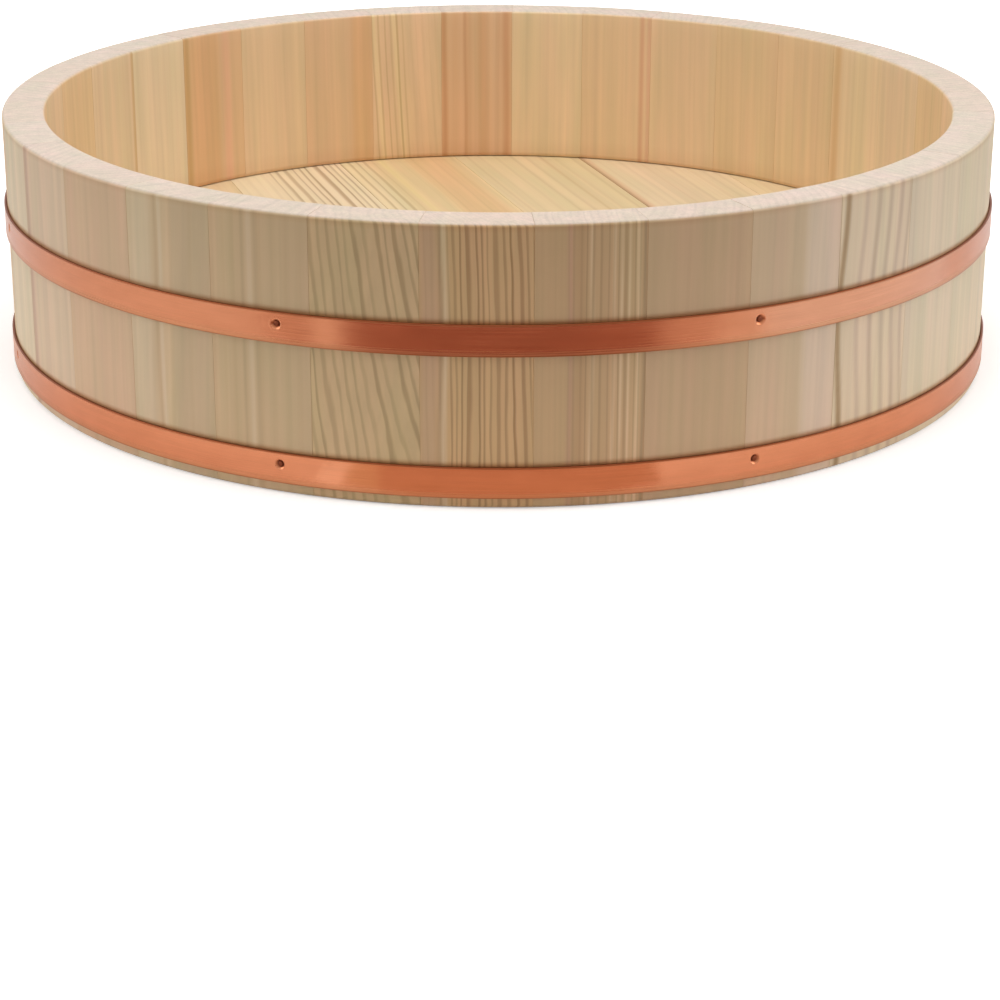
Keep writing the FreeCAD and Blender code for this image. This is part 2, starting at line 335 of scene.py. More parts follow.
def mark_grain(mesh, cut, number, places):
    """Store where each vertex lay in its log and what its wood looks like. A place is across,
    depth, length, share of the width, share of end grain, painted shade, and painted light."""
    apart = 0.61  # metres along the log between pieces, so that no two have the same grain
    swing = 0.012  # metres of length in which a swaying band turns by a radian
    fade = 0.04  # share of the width over which the figured grain begins and ends
    faint = 0.15  # share of the figure that is left beside it
    painted_light_gain = 0.1  # how much paler the painted light makes the wood inside
    log, tone, summer, look, marks = [], [], [], [], []
    dark = (*linear(cut.get("summer", "#B08A60")), 1.0)
    grain_start, grain_end = cut.get("grain", (-1.0, 2.0))
    bands = [(start, end, Vector(linear(code))) for start, end, code in cut.get("bands", ())]
    tones = Vector(linear(cut["tone"])), bands
    sway, slant = cut.get("sway", 0.0), cut.get("slant", 0.0)
    for across, depth, length, share, end, painted_shade, painted_light in places:
        stray = length * 10
        share += sway * math.sin(length / swing + number) - slant * (stray - 0.5)
        log.append((
            across - (cut["pith"][0] + cut["lean"][0] * stray) * MM,
            depth - (cut["pith"][1] + cut["lean"][1] * stray) * MM,
            length + number * apart))
        # Painted light makes the inside of a stave paler towards the floor
        tone.append((*(tone_at(tones, share) * (1 + painted_light_gain * painted_light)), 1.0))
        summer.append(dark)
        grain = smooth(share, grain_start - fade, grain_start + fade)
        grain *= 1 - smooth(share, grain_end - fade, grain_end + fade)
        look.append((cut["figure"] * (faint + (1 - faint) * grain), end, cut["ring"] * MM))
        marks.append((painted_shade, cut.get("line", 0.5), cut.get("waver", 1.0)))
    store(mesh, "log", "FLOAT_VECTOR", log)
    store(mesh, "tone", "FLOAT_COLOR", tone)
    store(mesh, "summer", "FLOAT_COLOR", summer)
    store(mesh, "look", "FLOAT_VECTOR", look)
    store(mesh, "marks", "FLOAT_VECTOR", marks)


def new_object(context, name, data):
    """Put a mesh, a lamp or a camera in the scene."""
    made = bpy.data.objects.new(name, data)
    context.scene.collection.objects.link(made)
    return made


def add_piece(context, mesh, node):
    """Put a piece in the scene in place of a node of the frame."""
    piece = new_object(context, mesh.name, mesh)
    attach(piece, "root")
    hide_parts(node)


# Making materials

def set_inputs(tree, node, inputs):
    """Set inputs of a shader node, or link them to a socket or to the first one that a node
    gives out."""
    for key, value in inputs.items():
        if isinstance(value, bpy.types.Node):
            value = next(output for output in value.outputs if output.enabled)
        if isinstance(value, bpy.types.NodeSocket):
            tree.links.new(value, node.inputs[key])
        else:
            node.inputs[key].default_value = value


def add_node(tree, kind, inputs=None, **settings):
    """Add a shader node with its settings, and link or set its inputs."""
    made = tree.nodes.new("ShaderNode" + kind)
    for name, value in settings.items():
        setattr(made, name, value)
    set_inputs(tree, made, inputs or {})
    return made


def new_material(name):
    """Empty material with its tree and its shader."""
    material = bpy.data.materials.get(name)
    if material:
        bpy.data.materials.remove(material)
    material = bpy.data.materials.new(name)
    material.use_nodes = True
    tree = material.node_tree
    return material, tree, tree.nodes["Principled BSDF"]


def per_mm(*lengths):
    """Scale of a pattern from its size in mm along each axis, where 0 leaves an axis out."""
    return tuple(1 / (length * MM) if length else 0 for length in lengths)


def planed_sawara(name, end_grain, roughness):
    """Sawara cypress, straight off the plane and unoiled: a pale matt wood whose year rings
    show as thin, soft reddish lines, with a faint silky sheen along the fibres."""
    material, tree, shader = new_material(name)
    log, tone, late_tone, look, marks = [
        add_node(tree, "Attribute", attribute_name=field).outputs[kind] for field, kind in (
            ("log", "Vector"), ("tone", "Color"), ("summer", "Color"), ("look", "Vector"),
            ("marks", "Vector"))]
    figure, end, ring = add_node(tree, "SeparateXYZ", {0: look}).outputs
    painted_shade, line, waver = add_node(tree, "SeparateXYZ", {0: marks}).outputs

    # The rings wander by 1.6 mm over 35 mm across and 300 mm of length, and by 0.3 mm over
    # 5 mm across and 40 mm of length, times waver
    wander = log
    for across, length, amount in ((35, 300, 3.2), (5, 40, 0.6)):
        spot = add_node(tree, "VectorMath", {
            0: log, 1: per_mm(across, across, length)}, operation="MULTIPLY")
        noise = add_node(tree, "TexNoise", {"Vector": spot, "Scale": 1.0, "Detail": 2.0})
        noise = add_node(tree, "VectorMath", {
            0: noise.outputs["Color"], "Scale": waver}, operation="SCALE")
        wander = add_node(tree, "VectorMath", {
            0: noise, 1: (amount * MM, amount * MM, 0), 2: wander}, operation="MULTIPLY_ADD")
    level = add_node(tree, "VectorMath", {0: wander, 1: (1, 1, 0)}, operation="MULTIPLY")
    radius = add_node(tree, "VectorMath", {0: level}, operation="LENGTH")
    year = add_node(tree, "Math", {0: radius, 1: ring}, operation="DIVIDE")
    uneven = add_node(
        tree, "TexNoise", {"W": year, "Scale": 0.45, "Detail": 1.0}, noise_dimensions="1D")
    year = add_node(tree, "Math", {0: uneven, 1: 0.9, 2: year}, operation="MULTIPLY_ADD")

    # Summer wood: it darkens slowly over a year and ends sharply, and no two years are alike
    part = add_node(tree, "Math", {0: year}, operation="FRACT")
    onset = add_node(tree, "Math", {0: 0.93, 1: line}, operation="SUBTRACT")
    full = add_node(tree, "Math", {0: line, 1: 0.6, 2: onset}, operation="MULTIPLY_ADD")
    rise = add_node(tree, "MapRange", {0: part, 1: onset, 2: full}, interpolation_type="SMOOTHSTEP")
    fall = add_node(tree, "MapRange", {0: part, 1: 0.88, 2: 0.99, 3: 1.0, 4: 0.0})
    summer = add_node(tree, "Math", {0: rise, 1: fall}, operation="MULTIPLY")
    count = add_node(tree, "Math", {0: year}, operation="FLOOR")
    chance = add_node(tree, "TexWhiteNoise", {"W": count}, noise_dimensions="1D")
    strength = add_node(tree, "MapRange", {0: chance, 3: 0.45, 4: 1.0})
    late = add_node(tree, "Math", {0: summer, 1: strength}, operation="MULTIPLY")
    summer = add_node(tree, "Math", {0: late, 1: figure}, operation="MULTIPLY")

    # Fibres are 0.04 mm wide, drawn 0.5 mm wide and 30 mm long so that they show. Streaks
    # from one year's growth to the next are 3.4 mm across and 400 mm long, and clouds of tone
    # 9 mm across and 60 mm long. Open pores are 0.05 mm wide, drawn 0.7 mm wide.
    patterns = []
    for place, across, length, detail in (
            (log, 0.5, 30, 3.0), (wander, 3.4, 400, 2.0), (log, 9, 60, 2.0), (log, 0.7, 0.7, 3.0)):
        spot = add_node(tree, "VectorMath", {
            0: place, 1: per_mm(across, across, length)}, operation="MULTIPLY")
        patterns.append(
            add_node(tree, "TexNoise", {"Vector": spot, "Scale": 1.0, "Detail": detail}))
    fibre, streak, cloud, pores = patterns

    side = add_node(tree, "Mix", {0: summer, 6: tone, 7: late_tone}, data_type="RGBA")
    # Cut ends are sanded, paler and greyer, with the rings faint and open pores as flecks
    pores = add_node(tree, "MapRange", {0: pores, 1: 0.35, 2: 0.62, 3: 0.92, 4: 1.02})
    rings = add_node(tree, "Math", {0: late, 1: -0.09, 2: 1.0}, operation="MULTIPLY_ADD")
    shade = add_node(tree, "Math", {0: pores, 1: rings}, operation="MULTIPLY")
    blank = add_node(tree, "Mix", {0: 0.18, 6: (*end_grain, 1), 7: tone}, data_type="RGBA")
    cut = add_node(tree, "VectorMath", {0: blank, "Scale": shade}, operation="SCALE")
    base = add_node(tree, "Mix", {0: end, 6: side, 7: cut}, data_type="RGBA")

    # The clouds turn the tone, from a little green to a little rosy
    patch = add_node(tree, "MapRange", {0: cloud, 1: 0.3, 2: 0.7})
    tint = add_node(tree, "Mix", {
        0: patch, 6: (0.95, 0.985, 0.95, 1), 7: (1.05, 1.01, 1.03, 1)}, data_type="RGBA")
    base = add_node(tree, "Mix", {
        0: 1.0, 6: base, 7: tint}, data_type="RGBA", blend_type="MULTIPLY")
    fleck = add_node(tree, "MapRange", {0: fibre, 1: 0.25, 2: 0.75, 3: 0.985, 4: 1.015})
    pale = add_node(tree, "MapRange", {0: streak, 1: 0.3, 2: 0.7, 3: 0.94, 4: 1.045})
    fleck = add_node(tree, "Math", {0: fleck, 1: pale}, operation="MULTIPLY")
    base = add_node(tree, "VectorMath", {0: base, "Scale": fleck}, operation="SCALE")
    # Painted shade: a brown line in the joints, above each hoop, under the rim and where the wood
    # meets the floor
    shade_tint = add_node(tree, "Mix", {
        0: painted_shade, 6: (1, 1, 1, 1), 7: (0.74, 0.51, 0.33, 1)}, data_type="RGBA")
    base = add_node(tree, "Mix", {
        0: 1.0, 6: base, 7: shade_tint}, data_type="RGBA", blend_type="MULTIPLY")

    # Summer wood is denser: once planed it is smoother and stands 0.03 mm proud
    height = add_node(tree, "Math", {0: summer, 1: 0.7, 2: fibre}, operation="MULTIPLY_ADD")
    bump = add_node(tree, "Bump", {"Strength": 0.35, "Distance": 0.00005, "Height": height})
    gloss = add_node(tree, "MapRange", {0: summer, 3: roughness, 4: roughness - 0.1})
    set_inputs(tree, shader, {"Base Color": base, "Roughness": gloss, "Normal": bump, "IOR": 1.5})
    return material


def drawn_copper(name, copper, edge_and_shade_colour):
    """Copper strip, drawn flat and wiped clean: a warm satin metal with fine lines along its
    length, cloudy where a thin film of oxide has begun, and brown on its edges: oxide on the
    sheared edges, and painted shade and reflection along them."""
    material, tree, shader = new_material(name)
    strip = add_node(tree, "Attribute", attribute_name="strip").outputs["Vector"]
    edge = add_node(tree, "SeparateXYZ", {0: strip}).outputs["Z"]
    painted_low_reflection = add_node(tree, "Attribute", attribute_name="painted_low_reflection").outputs["Fac"]

    # Lines are 0.02 mm apart, drawn 0.35 mm apart and 45 mm long so that they show. Oxide
    # clouds are 14 mm long and 5 mm high.
    patterns = []
    for along, across, detail in ((45, 0.35, 2.0), (14, 5, 3.0)):
        spot = add_node(tree, "VectorMath", {
            0: strip, 1: per_mm(along, across, 0)}, operation="MULTIPLY")
        patterns.append(
            add_node(tree, "TexNoise", {"Vector": spot, "Scale": 1.0, "Detail": detail}))
    lines, cloud = patterns

    oxide = add_node(tree, "MapRange", {0: cloud, 1: 0.35, 2: 0.7, 3: 0.0, 4: 0.4})
    dull = add_node(tree, "Mix", {
        0: oxide, 6: (*copper, 1), 7: (*linear("#C97F5A"), 1)}, data_type="RGBA")
    # Painted reflection: towards its lower edge the strip is mixed into a dull brown, like the wood
    # below mirrored in it
    dull = add_node(tree, "Mix", {0: painted_low_reflection, 6: dull, 7: (*linear("#BB8760"), 1)}, data_type="RGBA")
    shade = add_node(tree, "MapRange", {0: lines, 1: 0.3, 2: 0.7, 3: 0.94, 4: 1.03})
    face = add_node(tree, "VectorMath", {0: dull, "Scale": shade}, operation="SCALE")
    # The edge colour is partly oxide and partly painted shade and reflection
    base = add_node(tree, "Mix", {0: edge, 6: face, 7: (*edge_and_shade_colour, 1)}, data_type="RGBA")

    gloss = add_node(tree, "MapRange", {0: lines, 1: 0.3, 2: 0.7, 3: 0.19, 4: 0.27})
    tarnish_and_shade = add_node(tree, "Math", {0: edge, 1: painted_low_reflection}, operation="MAXIMUM")
    gloss = add_node(tree, "Math", {0: tarnish_and_shade, 1: 0.2, 2: gloss}, operation="MULTIPLY_ADD")
    bump = add_node(tree, "Bump", {"Strength": 0.25, "Distance": 0.00004, "Height": lines})
    set_inputs(tree, shader, {
        "Base Color": base, "Metallic": 1.0, "Roughness": gloss, "Normal": bump})
    return material


def hammered_copper(name, copper):
    """Copper tacks and rivets, struck home: darker than the strip, with dents that glint."""
    material, tree, shader = new_material(name)
    place = add_node(tree, "TexCoord").outputs["Object"]
    # Hammer dents are about 0.8 mm across
    spot = add_node(tree, "VectorMath", {0: place, 1: per_mm(0.8, 0.8, 0.8)}, operation="MULTIPLY")
    dents = add_node(tree, "TexNoise", {"Vector": spot, "Scale": 1.0, "Detail": 2.0})
    base = add_node(tree, "Mix", {
        0: dents, 6: (*copper, 1), 7: (*linear("#5E3324"), 1)}, data_type="RGBA")
    gloss = add_node(tree, "MapRange", {0: dents, 3: 0.3, 4: 0.5})
    bump = add_node(tree, "Bump", {"Strength": 0.4, "Distance": 0.0001, "Height": dents})
    set_inputs(tree, shader, {
        "Base Color": base, "Metallic": 1.0, "Roughness": gloss, "Normal": bump})
    return material


def split_bamboo(name, straw):
    """Bamboo, split and whittled: straight fibre bundles as fine dark dashes on pale straw."""
    material, tree, shader = new_material(name)
    place = add_node(tree, "TexCoord").outputs["Object"]
    # Fibre bundles are 0.5 mm apart
    spot = add_node(tree, "VectorMath", {0: place, 1: per_mm(0.5, 0.5, 0.5)}, operation="MULTIPLY")
    bundles = add_node(tree, "TexNoise", {"Vector": spot, "Scale": 1.0, "Detail": 2.0})
    dark = add_node(tree, "MapRange", {0: bundles, 1: 0.5, 2: 0.7, 3: 0.0, 4: 0.6})
    base = add_node(tree, "Mix", {
        0: dark, 6: (*straw, 1), 7: (*linear("#A98552"), 1)}, data_type="RGBA")
    gloss = add_node(tree, "MapRange", {0: bundles, 3: 0.4, 4: 0.55})
    bump = add_node(tree, "Bump", {"Strength": 0.3, "Distance": 0.00005, "Height": bundles})
    set_inputs(tree, shader, {"Base Color": base, "Roughness": gloss, "Normal": bump})
    return material


# Staves

def hoop_levels():
    """Height of the lower edge of each hoop."""
    return {name: node_box(name)[0].z for name in ("upper_hoop", "lower_hoop")}


def joint_angle(sizes, index):
    """Angle of a joint between staves."""
    even = sizes.first_joint + math.tau / len(STAVE_CUTS) * index
    return even + sizes.joint_drift * math.sin(even)


def even_rows(low, high):
    """Heights about 4 mm apart between two heights, which let the wood's bands sway."""
    count = round((high - low) / 0.004)
    return [low + (high - low) * step / count for step in range(1, count)]


def stave_outline(sizes, edges):
    """Section of a stave in radius and height, with its rounded ends and its floor groove."""
    outer = sizes.tub_diameter / 2
    inner = outer - sizes.wall_thickness
    rim, foot, top = sizes.rim_round, sizes.foot_round, sizes.tub_height
    groove = inner + sizes.groove_depth
    groove_low = sizes.floor_underside - sizes.groove_play
    groove_high = sizes.floor_top + 2 * sizes.groove_play
    # Rows by the upper edges of the hoops and under the rim hold the painted shade
    rises = (-0.0006, -0.0001, 0.0004, 0.001, HOOP_SHADE)
    shade_rows = [edge + rise for edge in edges for rise in rises] + [top - rim - RIM_SHADE]
    rows = [
        height for height in even_rows(foot, top - rim)
        if min(abs(height - row) for row in shade_rows) > 0.001]
    outline = arc((outer - foot, foot), foot, -90, 0, 4)
    outline += [(outer, height) for height in sorted(rows + shade_rows)]
    outline += arc((outer - rim, top - rim), rim, 0, 90, 6)
    outline += arc((inner + rim, top - rim), rim, 90, 180, 6)
    outline += [(inner, height) for height in reversed(even_rows(groove_high + 0.003, top - rim))]
    # The wall ends in a small bevel over the groove
    outline += [(inner, groove_high + 0.0016), (inner, groove_high + 0.0005)]
    outline += [(inner + 0.0003, groove_high), (groove, groove_high)]
    outline += [(groove, groove_low), (inner, groove_low)]
    outline += arc((inner + foot, foot), foot, 180, 270, 4)
    return outline


def wall_face(sizes, radius):
    """Which face of the wall a radius is on, if it isn't between them."""
    near = 0.0002
    outer = sizes.tub_diameter / 2
    if radius < outer - sizes.wall_thickness + near:
        return "inside"
    return "between" if radius < outer - near else "outside"


def painted_shade_share(sizes, radius, height, edges):
    """How much painted shade a stave has: outside, above the upper edges of the hoops and faintly
    under the rim, and inside, where it meets the floor."""
    face = wall_face(sizes, radius)
    if face == "inside":
        return 0.4 * (1 - smooth(height - sizes.floor_top, 0.0004, 0.0032))
    if face == "between":
        return 0.0
    above = [height - edge for edge in edges]
    under = sizes.tub_height - sizes.rim_round - height
    hoops = max(smooth(rise, -0.0006, 0.0) * (1 - smooth(rise, 0.0, HOOP_SHADE)) for rise in above)
    return max(hoops, 0.25 * smooth(under, -0.0003, 0.0) * (1 - smooth(under, 0.0, RIM_SHADE)))


def painted_light_share(sizes, radius, height):
    """How much painted light a stave has inside: the nearer the floor, the paler its wood is
    painted.
    """
    if wall_face(sizes, radius) != "inside":
        return 0.0
    return 1 - smooth(height, sizes.floor_top, sizes.tub_height)


def end_share(sizes, height):
    """How much of a stave's surface is end grain at a height."""
    top, rim, foot = sizes.tub_height, sizes.rim_round, sizes.foot_round
    upper = smooth(height, top - 0.55 * rim, top - 0.1 * rim)
    return upper + 1 - smooth(height, 0.1 * foot, 0.55 * foot)


class HANGIRI_OT_staves(bpy.types.Operator):
    """Build the staves, each from its own cut of wood, with eased joints and a softened rim"""
    bl_idname = "hangiri.staves"
    bl_label = "Staves"

    def execute(self, context):
        sizes, colours = context.scene.hangiri_sizes, context.scene.hangiri_colours
        material = planed_sawara("planed_sawara_staves", colours.end_grain, roughness=0.56)
        chance = random.Random(33)
        # Painted shade along the joints between staves
        steps, joint_shade = 44, 0.4
        edges = [level + sizes.hoop_width for level in hoop_levels().values()]
        outline = stave_outline(sizes, edges)
        inset = shrunk(outline, sizes.joint_ease)
        outer = sizes.tub_diameter / 2
        ease = sizes.joint_ease / outer
        for number, cut_name in enumerate(STAVE_CUTS):
            start, end = joint_angle(sizes, number), joint_angle(sizes, number + 1)
            middle = (start + end) / 2
            # No two staves are planed quite flush: they stand back by up to 0.1 mm
            back, low = chance.uniform(0, 0.00008), chance.uniform(0, 0.0001)
            angles = [start, start + ease]
            angles += [start + (end - start) * step / steps for step in range(1, steps)]
            angles += [end - ease, end]
            rings, places = [], []
            for angle in angles:
                joint = angle in (start, end)
                ring = []
                for radius, height in inset if joint else outline:
                    drop = low * smooth(height, 0.5 * sizes.tub_height, sizes.tub_height)
                    ring.append(at(radius - back, angle, height - drop))
                    places.append((
                        radius * math.sin(angle - middle),
                        outer - radius * math.cos(angle - middle),
                        height, (angle - start) / (end - start), end_share(sizes, height),
                        max(painted_shade_share(sizes, radius, height, edges), joint_shade * joint),
                        painted_light_share(sizes, radius, height)))
                rings.append(ring)
            mesh = sweep("planed_stave_%02d" % (number + 1), rings)
            mark_grain(mesh, CUTS[cut_name], number, places)
            finish_mesh(mesh, material)
            add_piece(context, mesh, "stave_%02d" % (number + 1))
        return {"FINISHED"}


# Floor

class HANGIRI_OT_floor(bpy.types.Operator):
    """Build the floor boards, each from its own cut of wood, with eased edges"""
    bl_idname = "hangiri.floor"
    bl_label = "Floor boards"

    def execute(self, context):
        sizes, colours = context.scene.hangiri_sizes, context.scene.hangiri_colours
        material = planed_sawara("planed_sawara_floor", colours.end_grain, roughness=0.55)
        play, tip, ease = 0.0003, 0.00002, 0.00015
        # Painted shade along the edges of the floor boards
        across_steps, along_steps, edge_shade = 26, 40, 0.5
        full_boards = len(FLOOR_BOARD_CUTS) - 2
        # Boards' logs are numbered on from the staves' so that none has a stave's grain
        first_log = 40
        radius = sizes.tub_diameter / 2 - sizes.wall_thickness + sizes.groove_depth - play
        width = 2 * radius / (full_boards + FIRST_BOARD + LAST_BOARD)
        first = FIRST_BOARD * width - radius
        edges = [first + width * step for step in range(full_boards + 1)]
        edges = [-radius + tip] + edges + [radius - tip]
        turn = Matrix.Rotation(sizes.floor_skew, 3, "Z")
        for number, cut_name in enumerate(FLOOR_BOARD_CUTS):
            start, end = edges[number], edges[number + 1]
            stations = [
                start + (end - start) * step / across_steps for step in range(across_steps + 1)]
            stations[1:1] = [start + ease]
            stations[-1:-1] = [end - ease]
            rings, places = [], []
            for along_step in range(along_steps + 1):
                share = -math.cos(math.pi * along_step / along_steps)
                ring = []
                for upper in (True, False):
                    for across in (stations if upper else reversed(stations)):
                        half = math.sqrt(max(radius ** 2 - across ** 2, 0))
                        edge = across in (start, end)
                        height = sizes.floor_top if upper else sizes.floor_underside
                        height -= ease * (1 if upper else -1) if edge else 0
                        ring.append(turn @ Vector((across, share * half, height)))
                        places.append((
                            across - (start + end) / 2, sizes.floor_top - height,
                            share * half, (across - start) / (end - start), 0.0,
                            edge_shade * edge, 0.0))
                rings.append(ring)
            mesh = sweep("planed_floor_board_%d" % (number + 1), rings)
            mark_grain(mesh, FLOOR_CUTS[cut_name], first_log + number, places)
            finish_mesh(mesh, material)
            add_piece(context, mesh, "floor_board_%d" % (number + 1))
        return {"FINISHED"}


# Hoops

def tack_angles(sizes):
    """Angles of a hoop's tacks, evenly spread over the arc that the lap leaves."""
    step = math.radians(TACK_ARC) / (sizes.tack_count - 1)
    start = sizes.lap_angle + math.radians(TACK_START)
    return [start + step * index for index in range(sizes.tack_count)]


def tack_height(sizes, level):
    """Height of a hoop's tacks."""
    return level + sizes.hoop_width / 2 + TACK_RISE


def strip_section(sizes):
    """Section of the strip: distance out from its inner face, height, and share of the edge colour,
    which is oxide and painted shade.
    """
    thick, width = sizes.hoop_thickness, sizes.hoop_width
    corner, rows, tarnish_and_shade = 0.00022, 34, 0.0008
    # The edge colour on the corners and the top 0.8 mm of the face is partly oxide and partly
    # painted shade and reflection
    section = [(x, y, 0.6) for x, y in arc((corner, corner), corner, 180, 270, 2)]
    section += [(x, y, 0.5) for x, y in arc((thick - corner, corner), corner, -90, 0, 4)]
    for row in range(1, rows):
        height = corner + (width - 2 * corner) * row / rows
        section.append((thick, height, smooth(height, width - tarnish_and_shade, width)))
    section += [(x, y, 1.0) for x, y in arc((thick - corner, width - corner), corner, 0, 90, 4)]
    section += [(x, y, 1.0) for x, y in arc((corner, width - corner), corner, 90, 180, 2)]
    return section


def strip_angles(sizes, inner_end, outer_end):
    """Stations along the strip, close together round each tack."""
    coarse, steps = math.radians(1.2), 310
    fine, reach, closest = 0.00019, 14, 0.0001
    radius = sizes.tub_diameter / 2
    start = inner_end - math.tau
    angles = {start + coarse * step for step in range(steps)}
    for tack in tack_angles(sizes):
        for step in range(-reach, reach + 1):
            angles.add((tack + step * fine / radius - inner_end) % math.tau + start)
    angles = sorted(angle for angle in angles if angle < outer_end - coarse / 4)
    kept = [angles[0]]
    for angle in angles[1:]:
        if angle - kept[-1] > closest / radius:
            kept.append(angle)
    return kept + [outer_end]


def dimple_sink(sizes, distance, out):
    """How far the outer face is driven in, at a distance from a tack in radii of the dimple,
    with a slight lip round it."""
    lip = 0.00002
    sink = sizes.dimple_depth * (1 - smooth(distance, 0.45, 1.0))
    sink -= lip * smooth(distance, 0.8, 1.05) * (1 - smooth(distance, 1.05, 1.5))
    return sink * smooth(out, 0.5 * sizes.hoop_thickness, sizes.hoop_thickness)


class HANGIRI_OT_hoops(bpy.types.Operator):
    """Build both copper hoops, lapped at the back and dimpled where the tacks are driven"""
    bl_idname = "hangiri.hoops"
    bl_label = "Hoops"

    def execute(self, context):
        sizes, colours = context.scene.hangiri_sizes, context.scene.hangiri_colours
        material = drawn_copper("drawn_copper_strip", colours.copper, colours.copper_edge_and_shade)
        ring = sizes.tub_diameter / 2 + sizes.hoop_play
        lap = ring + sizes.hoop_thickness + sizes.hoop_play
        half_lap = sizes.lap_length / 2 / lap
        inner_end, outer_end = sizes.lap_angle - half_lap, sizes.lap_angle + half_lap
        # The outer end steps up over the inner one within 5 mm, and 0.3 mm before it
        step_top = inner_end - 0.0003 / lap
        step_foot = step_top - 0.005 / lap
        section = strip_section(sizes)
        tacks = [(angle + math.pi) % math.tau - math.pi for angle in tack_angles(sizes)]
        angles = strip_angles(sizes, inner_end, outer_end)
        for name, level in hoop_levels().items():
            rings, values, painted_low_reflections = [], [], []
            for angle in angles:
                foot = ring + (lap - ring) * smooth(angle, step_foot, step_top)
                # The strip was drawn up tight by hand and waves by a few hundredths of a mm
                wave = 0.00003 * math.sin(7 * angle + level * 90) + 0.00002 * math.sin(17 * angle)
                off = min(abs((angle - tack + math.pi) % math.tau - math.pi) for tack in tacks)
                points = []
                for out, height, edge in section:
                    rise = level + height - tack_height(sizes, level)
                    distance = math.hypot(off * ring, rise) / (sizes.dimple_diameter / 2)
                    sink = dimple_sink(sizes, distance, out)
                    out_here = out - sink + (wave if out > 0.5 * sizes.hoop_thickness else 0)
                    points.append(at(foot + out_here, angle, level + height))
                    # Brown patina stays down in the dimples
                    dull = max(edge, 0.75 * (1 - smooth(distance, 0.6, 1.05)))
                    values.append(((angle + 10) * ring, height + level, dull))
                    # Painted reflection of the wood below on the lowest 2.6 mm of the strip
                    painted_low_reflections.append(0.45 * (1 - smooth(height, 0.0004, 0.0026)))
                rings.append(points)
            mesh = sweep("copper_" + name, rings)
            store(mesh, "strip", "FLOAT_VECTOR", values)
            store(mesh, "painted_low_reflection", "FLOAT", painted_low_reflections)
            finish_mesh(mesh, material, sharp_angle=50)
            add_piece(context, mesh, name)
        return {"FINISHED"}


# Tacks and rivets

def turned(name, angles, profile, height, sides, dents, seed):
    """Heads and shanks turned about radii of the tub, from pairs of distance out and radius.
    Dents is the share by which a hammered head is uneven."""
    chance = random.Random(seed)
    points, faces = [], []
    for angle in angles:
        faces += tube_faces(len(points), len(profile) - 1, sides)
        out = at(1, angle, 0)
        along = at(1, angle + math.pi / 2, 0)
        for distance, radius in profile:
            for side in range(sides):
                turn = math.tau * side / sides
                uneven = 1 + dents * chance.uniform(-1, 1)
                spoke = along * math.cos(turn) + Vector((0, 0, 1)) * math.sin(turn)
                points.append(out * distance + spoke * radius * uneven + Vector((0, 0, height)))
    return new_mesh(name, points, faces)


class HANGIRI_OT_tacks(bpy.types.Operator):
    """Build the tacks, with a low domed head down in each dimple"""
    bl_idname = "hangiri.tacks"
    bl_label = "Tacks"

    def execute(self, context):
        sizes, colours = context.scene.hangiri_sizes, context.scene.hangiri_colours
        material = hammered_copper("hammered_copper_tacks", colours.tack)
        seat = sizes.tub_diameter / 2 + sizes.hoop_play + sizes.hoop_thickness - sizes.dimple_depth
        shank = ((-9.0, 0.15), (-8.0, 0.3), (0.0, 0.55))
        head = ((0.0, 0.82), (0.1, 0.88), (0.22, 0.85), (0.32, 0.7), (0.38, 0.48), (0.41, 0.24),
                (0.42, 0.03))
        profile = [(seat + distance * MM, radius * MM) for distance, radius in shank + head]
        for name, level in hoop_levels().items():
            mesh = turned(
                "struck_" + name + "_tacks", tack_angles(sizes), profile,
                tack_height(sizes, level), sides=20, dents=0.03, seed=7)
            finish_mesh(mesh, material, sharp_angle=50)
            add_piece(context, mesh, name + "_nails")
        return {"FINISHED"}


class HANGIRI_OT_rivets(bpy.types.Operator):
    """Build the rivets that close each lap, with their heads hammered down"""
    bl_idname = "hangiri.rivets"
    bl_label = "Rivets"

    def execute(self, context):
        sizes, colours = context.scene.hangiri_sizes, context.scene.hangiri_colours
        material = hammered_copper("hammered_copper_rivets", colours.tack)
        ring = sizes.tub_diameter / 2 + sizes.hoop_play
        face = ring + 2 * sizes.hoop_thickness + sizes.hoop_play
        shank = [(ring, 1.6 * MM), (ring + 0.5 * MM, 1.0 * MM), (face, 1.0 * MM)]
        head = ((0.0, 1.82), (0.12, 1.9), (0.3, 1.84), (0.5, 1.6), (0.66, 1.25), (0.76, 0.8),
                (0.8, 0.4), (0.8, 0.04))
        profile = shank + [(face + distance * MM, radius * MM) for distance, radius in head]
        half = sizes.rivet_spacing / 2 / (ring + sizes.hoop_thickness + sizes.hoop_play)
        angles = [sizes.lap_angle - half, sizes.lap_angle + half]
        for name, level in hoop_levels().items():
            mesh = turned(
                "struck_" + name + "_rivets", angles, profile, level + sizes.hoop_width / 2,
                sides=24, dents=0.035, seed=5)
            finish_mesh(mesh, material, sharp_angle=50)
            add_piece(context, mesh, name + "_rivets")
        return {"FINISHED"}


class HANGIRI_OT_pegs(bpy.types.Operator):
    """Give the bamboo pegs inside the joints their finish"""
    bl_idname = "hangiri.pegs"
    bl_label = "Pegs"

    def execute(self, context):
        material = split_bamboo("split_bamboo_pegs", context.scene.hangiri_colours.bamboo)
        for name in ("stave_pegs", "floor_pegs"):
            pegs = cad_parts[name]
            pegs.data.materials.clear()
            pegs.data.materials.append(material)
        return {"FINISHED"}
